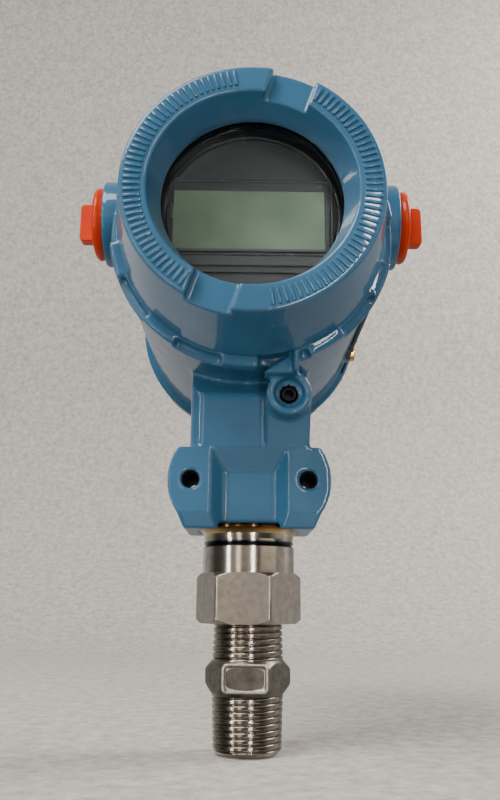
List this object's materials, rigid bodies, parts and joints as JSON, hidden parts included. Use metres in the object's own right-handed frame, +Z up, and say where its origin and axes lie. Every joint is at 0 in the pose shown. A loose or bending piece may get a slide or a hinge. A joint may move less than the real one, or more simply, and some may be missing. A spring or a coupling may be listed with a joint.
{
  "type": "pressure transmitter",
  "caption": "In-line pressure transmitter with a round display head, screwed covers, plugged conduit entries, a bracket block and a hexagon process nipple below.",
  "frame": {"origin": "centre of the process nipple's lower end face, on the process axis", "axes": "+Z up the process axis, -Y out of the display window, +X out of the conduit entry on the display's right"},
  "size_m": [0.1172, 0.133, 0.1928],
  "materials": {
    "painted_housing": "gloss blue polyurethane paint over cast aluminium",
    "plug_paint": "gloss orange paint on die-cast plugs",
    "stainless": "machined stainless steel",
    "cast_stainless": "cast stainless steel, threads machined",
    "zinc_screw": "zinc-plated steel",
    "black_screw": "blackened steel",
    "brass": "bright brass",
    "plate": "satin anodised sheet with a dark edge",
    "window": "toughened clear glass",
    "rubber": "matt nitrile",
    "gasket": "matt flat gasket",
    "black_plastic": "matt black moulding",
    "grey_plastic": "satin dark grey film over moulding",
    "lcd": "unlit liquid-crystal cell, grey-green",
    "circuit": "green solder mask",
    "ring_metal": "plain turned aluminium",
    "contact": "nickel-plated brass",
    "flat_cable": "grey flat cable",
    "diaphragm": "thin corrugated stainless foil",
    "potting": "black potting resin",
    "gold": "gold-flashed pins"
  },
  "bodies": {
    "transmitter": {"housing": "painted_housing", "display_bezel": "black_plastic", "display_faceplate": "grey_plastic", "lcd_panel": "lcd", "display_board": "circuit", "electronics_tray": "black_plastic", "electronics_board": "circuit", "electronics_screws": "zinc_screw", "display_screws": "zinc_screw", "terminal_block": "black_plastic", "terminal_clamps": "contact", "terminal_block_screws": "zinc_screw", "internal_ground_screw": "brass", "nameplate": "plate", "nameplate_screws": "black_screw", "sensor_body": "stainless", "sensor_oring": "rubber", "sensor_capsule": "stainless", "feedthrough_pins": "gold", "sensor_board": "circuit", "sensor_cap": "potting", "sensor_cable": "flat_cable", "process_connector": "stainless", "isolating_diaphragm": "diaphragm", "hex_nipple": "cast_stainless"},
    "front_seal": {"front_cover_oring": "rubber"},
    "front_cap": {"front_cover": "painted_housing", "window_glass": "window", "window_gasket": "gasket", "window_ring": "ring_metal"},
    "rear_seal": {"rear_cover_oring": "rubber"},
    "rear_cap": {"rear_cover": "painted_housing"},
    "left_plug": {"left_conduit_plug": "plug_paint"},
    "right_plug": {"right_conduit_plug": "plug_paint"},
    "front_lock": {"front_lock_screw": "black_screw"},
    "rear_lock": {"rear_lock_screw": "black_screw"},
    "clamp_screw_1": {"terminal_screw_1": "contact"},
    "clamp_screw_2": {"terminal_screw_2": "contact"},
    "clamp_screw_3": {"terminal_screw_3": "contact"},
    "earth_screw": {"external_ground_screw": "brass"}
  },
  "joints": [
    {"name": "front_cover_travel", "type": "slide", "parent": "transmitter", "child": "front_seal", "axis": [0, -1, 0], "range_m": [0, 0.0101]},
    {"name": "front_cover_turn", "type": "hinge", "parent": "front_seal", "child": "front_cap", "pos_m": [0, -0.0346, 0.1503], "axis": [0, -1, 0], "range_deg": [0, 1800]},
    {"name": "rear_cover_travel", "type": "slide", "parent": "transmitter", "child": "rear_seal", "axis": [0, 1, 0], "range_m": [0, 0.0101]},
    {"name": "rear_cover_turn", "type": "hinge", "parent": "rear_seal", "child": "rear_cap", "pos_m": [0, 0.06, 0.1503], "axis": [0, 1, 0], "range_deg": [0, 1800]},
    {"name": "left_plug_travel", "type": "slide", "parent": "transmitter", "child": "left_plug", "axis": [-1, 0, 0], "range_m": [0, 0.015]},
    {"name": "right_plug_travel", "type": "slide", "parent": "transmitter", "child": "right_plug", "axis": [1, 0, 0], "range_m": [0, 0.015]},
    {"name": "front_lock_travel", "type": "slide", "parent": "transmitter", "child": "front_lock", "axis": [0, -1, 0], "range_m": [0, 0.004]},
    {"name": "rear_lock_travel", "type": "slide", "parent": "transmitter", "child": "rear_lock", "axis": [0, 1, 0], "range_m": [0, 0.004]},
    {"name": "clamp_screw_1_travel", "type": "slide", "parent": "transmitter", "child": "clamp_screw_1", "axis": [0, 1, 0], "range_m": [0, 0.003]},
    {"name": "clamp_screw_2_travel", "type": "slide", "parent": "transmitter", "child": "clamp_screw_2", "axis": [0, 1, 0], "range_m": [0, 0.003]},
    {"name": "clamp_screw_3_travel", "type": "slide", "parent": "transmitter", "child": "clamp_screw_3", "axis": [0, 1, 0], "range_m": [0, 0.003]},
    {"name": "earth_screw_travel", "type": "slide", "parent": "transmitter", "child": "earth_screw", "axis": [1, 0, 0], "range_m": [0, 0.003]}
  ],
  "couplings": [
    {"joint": "front_cover_travel", "follows": "front_cover_turn", "m_per_rad": 0.00031831},
    {"joint": "rear_cover_travel", "follows": "rear_cover_turn", "m_per_rad": 0.00031831}
  ]
}
